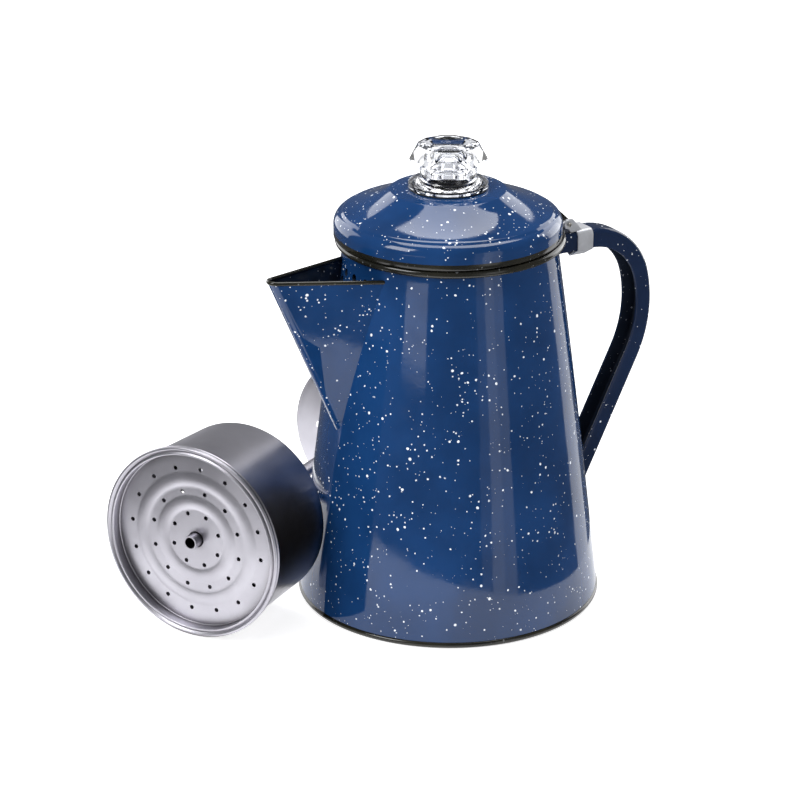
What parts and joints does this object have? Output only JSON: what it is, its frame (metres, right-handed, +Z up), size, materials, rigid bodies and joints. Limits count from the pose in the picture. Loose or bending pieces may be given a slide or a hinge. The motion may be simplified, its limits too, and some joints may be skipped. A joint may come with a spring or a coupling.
{
  "type": "coffee percolator",
  "caption": "Enamelled camping coffee percolator with a V spout, strap handle, hinged lid and glass knob; its perforated basket on a stem lies beside it.",
  "frame": {"origin": "the pot's axis at the plane it stands on", "axes": "+Z up, -X towards the spout's tip, +X towards the handle"},
  "size_m": [0.2433, 0.1865, 0.2018],
  "materials": {
    "blue_enamel": "glossy vitreous enamel, deep blue with white specks",
    "black_enamel": "glossy black enamel on rolled seams and inner faces",
    "clear_glass": "clear pressed glass",
    "satin_aluminium": "satin, fine spun lines",
    "bracket_steel": "plated sheet, slightly dull",
    "pin_steel": "bright wire",
    "gasket_rubber": "dark sealing ring"
  },
  "bodies": {
    "pot": {"pot_wall": "blue_enamel", "pot_base": "black_enamel", "spout": "blue_enamel", "handle": "blue_enamel", "hinge_bracket": "bracket_steel", "hinge_pin": "pin_steel"},
    "lid": {"lid_shell": "blue_enamel", "lid_collar": "black_enamel", "lid_hinge_tab": "black_enamel", "knob_gasket": "gasket_rubber"},
    "knob": {"glass_knob": "clear_glass"},
    "stem": {"stem_tube": "satin_aluminium", "stem_stop": "satin_aluminium", "stem_foot": "satin_aluminium"},
    "basket": {"basket": "satin_aluminium"},
    "spreader": {"spreader_lid": "satin_aluminium"}
  },
  "joints": [
    {"name": "lid_hinge", "type": "hinge", "parent": "pot", "child": "lid", "pos_m": [0.0566, 0, 0.1582], "axis": [0, 1, 0], "range_deg": [0, 105]},
    {"name": "knob_twist", "type": "hinge", "parent": "lid", "child": "knob", "pos_m": [-0.0012, 0, 0.1831], "axis": [0, 0, 1], "range_deg": [0, 60]},
    {"name": "set_aside", "type": "slide", "parent": "pot", "child": "stem", "axis": [-0.518, 0.8554, 0], "range_m": [0, 0.12]},
    {"name": "basket_lift", "type": "slide", "parent": "stem", "child": "basket", "axis": [-0.8549, -0.5177, 0.0329], "range_m": [0, 0.06]},
    {"name": "spreader_lift", "type": "slide", "parent": "basket", "child": "spreader", "axis": [-0.8549, -0.5177, 0.0329], "range_m": [0, 0.04]}
  ]
}
